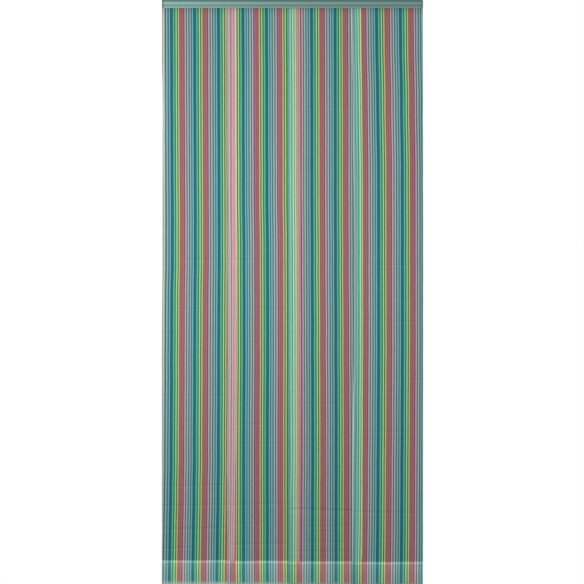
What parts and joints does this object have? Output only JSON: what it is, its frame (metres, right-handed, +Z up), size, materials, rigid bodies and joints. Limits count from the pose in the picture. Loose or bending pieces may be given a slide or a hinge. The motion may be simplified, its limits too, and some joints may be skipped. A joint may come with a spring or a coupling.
{
  "type": "striped door curtain on a head rail",
  "caption": "Sheer striped door curtain: long lapped strips with hems hang from a ribbed head rail with end caps and screen a doorway that people walk through.",
  "frame": {"origin": "middle of the head rail's flat back face", "axes": "+Z up along the drop, +Y towards the wall or door frame that the rail is fixed to, -Y out of the curtain's front, +X to the right seen from the front"},
  "size_m": [0.9014, 0.0245, 2.0109],
  "materials": {
    "rail_coating": "satin grey-green coat on an extruded aluminium profile",
    "cap_plastic": "matt grey-green moulded plastic",
    "striped_voile": "sheer woven voile with narrow lengthwise stripes in blues, greens, reds and greys"
  },
  "bodies": {
    "root": {"head_rail": "rail_coating", "end_cap_left": "cap_plastic", "end_cap_right": "cap_plastic", "strip_1": "striped_voile", "strip_2": "striped_voile", "strip_3": "striped_voile", "strip_4": "striped_voile"}
  },
  "joints": []
}
